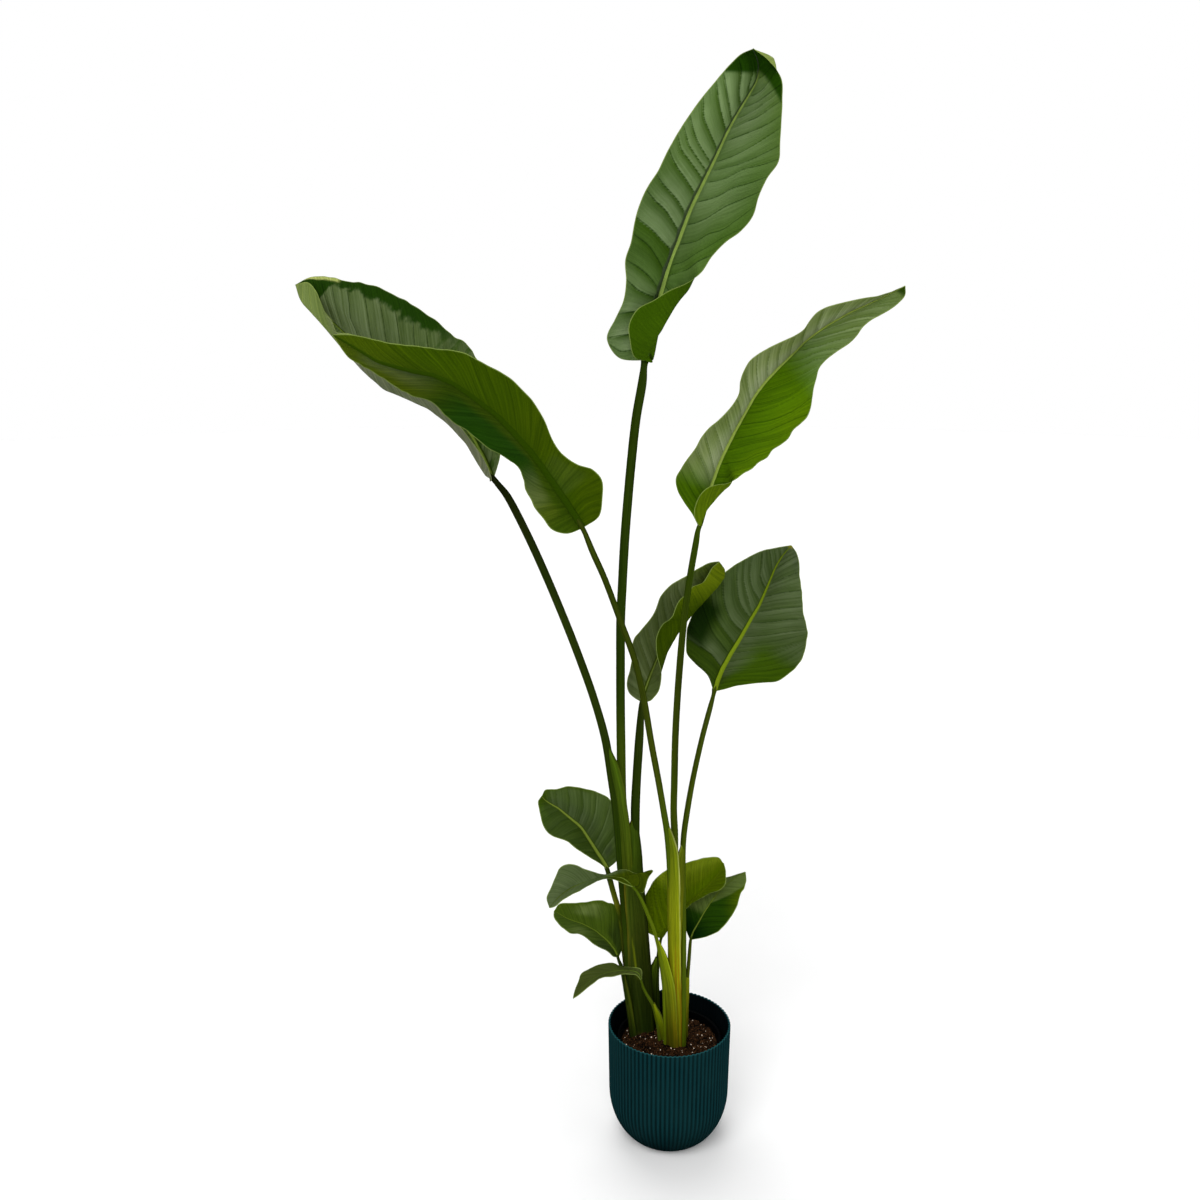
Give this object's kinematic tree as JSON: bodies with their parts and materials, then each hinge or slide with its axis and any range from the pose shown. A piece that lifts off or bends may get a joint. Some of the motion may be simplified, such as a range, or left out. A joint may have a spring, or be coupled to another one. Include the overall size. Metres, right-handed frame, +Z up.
{
  "type": "potted white bird of paradise",
  "caption": "Tall leafy house plant with large paddle leaves on long upright stalks, standing in soil inside a plain grower's pot and a round fluted cover pot.",
  "frame": {"origin": "middle of the cover pot's flat underside, on the surface that it stands on", "axes": "+Z up along the pot's axis; +Y away from the viewer; +X to the viewer's right"},
  "size_m": [1.0066, 0.3783, 1.8843],
  "materials": {
    "pot_teal": "matte, vertically fluted",
    "black_plastic": "matte",
    "soil": "crumbly potting mix",
    "leaf_green": "satin leaf, upper side",
    "leaf_pale": "satin leaf, paler side",
    "stalk_dark": "smooth stalk",
    "stalk_light": "smooth stalk"
  },
  "bodies": {
    "root": {"cover_pot": "pot_teal", "grower_pot": "black_plastic", "potting_soil": "soil", "leaf_a_blade": "leaf_green", "leaf_a_stalk": "stalk_dark", "leaf_b_blade": "leaf_green", "leaf_b_stalk": "stalk_dark", "leaf_c_blade": "leaf_pale", "leaf_c_stalk": "stalk_light", "leaf_d_blade": "leaf_green", "leaf_d_stalk": "stalk_light", "leaf_e_blade": "leaf_green", "leaf_e_stalk": "stalk_dark", "leaf_f_blade": "leaf_green", "leaf_f_stalk": "stalk_light", "leaf_g_blade": "leaf_green", "leaf_g_stalk": "stalk_dark", "leaf_h_blade": "leaf_green", "leaf_h_stalk": "stalk_dark", "leaf_i_blade": "leaf_green", "leaf_i_stalk": "stalk_dark", "leaf_j_blade": "leaf_green", "leaf_j_stalk": "stalk_light", "leaf_k_blade": "leaf_pale", "leaf_k_stalk": "stalk_dark", "leaf_l_blade": "leaf_green", "leaf_l_stalk": "stalk_dark"}
  },
  "joints": []
}
